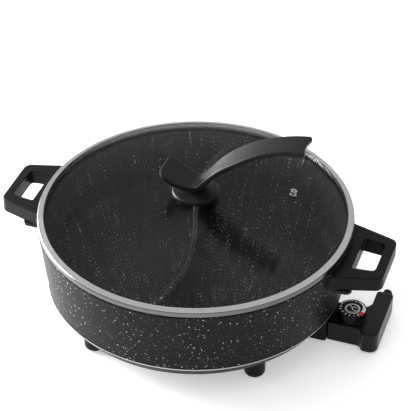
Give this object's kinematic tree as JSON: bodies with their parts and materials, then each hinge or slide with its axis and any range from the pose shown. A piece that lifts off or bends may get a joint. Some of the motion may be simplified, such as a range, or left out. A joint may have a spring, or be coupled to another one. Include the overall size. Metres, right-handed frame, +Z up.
{
  "type": "electric hot pot with lid",
  "caption": "Round electric hot pot on feet, its cast pan split by an S-shaped wall, with loop handles, a plug-in thermostat controller with a dial, and a lift-off domed glass lid.",
  "frame": {"origin": "on the table under the centre of the pot, at the bottom of the feet", "axes": "+Z up along the pot's axis, +X along the two handles towards the plug-in controller"},
  "size_m": [0.4156, 0.3298, 0.2308],
  "materials": {
    "granite_coating": "speckled non-stick coating on cast aluminium",
    "tray_black": "matt black enamel",
    "bakelite": "satin black moulding",
    "housing": "half-gloss black moulding",
    "foot_black": "matt black moulding",
    "steel": "brushed stainless",
    "plated": "bright zinc",
    "sheath": "dull oxidised steel",
    "cast_lug": "bare casting",
    "ceramic": "matt white",
    "brass": "bright",
    "rubber": "matt black",
    "dial_print": "black plate with white scale",
    "glass": "clear tempered glass",
    "switch_body": "cream moulding"
  },
  "bodies": {
    "pot": {"pan": "granite_coating", "base_tray": "tray_black", "feet": "foot_black", "foot_screws": "plated", "heating_element": "sheath", "terminal_pins": "plated", "insulator_beads": "ceramic", "probe_well": "cast_lug", "terminal_shroud": "bakelite", "shroud_screws": "plated", "right_handle": "bakelite", "left_handle": "bakelite", "handle_brackets": "tray_black", "handle_screws": "plated"},
    "controller": {"controller_top": "housing", "controller_base": "housing", "controller_screws": "plated", "contact_sleeves": "brass", "probe": "steel", "thermostat_switch": "switch_body", "switch_leaves": "brass", "cord_gland": "rubber"},
    "dial": {"dial_shaft": "plated", "dial_knob": "housing", "dial_plate": "dial_print", "dial_cap": "housing"},
    "lid": {"lid_glass": "glass", "lid_band": "steel", "lid_gasket": "rubber", "lid_disc": "bakelite", "lid_grip": "bakelite", "lid_washer": "plated", "lid_screw": "plated", "vent_eyelet": "steel"}
  },
  "joints": [
    {"name": "controller_plug", "type": "slide", "parent": "pot", "child": "controller", "axis": [1, 0, 0], "range_m": [0, 0.085]},
    {"name": "dial_turn", "type": "hinge", "parent": "controller", "child": "dial", "pos_m": [0.1729, 0, 0.026], "axis": [0, 0, 1], "range_deg": [-270, 0]},
    {"name": "lid_lift", "type": "slide", "parent": "pot", "child": "lid", "axis": [0, 0, 1], "range_m": [0, 0.145]}
  ]
}
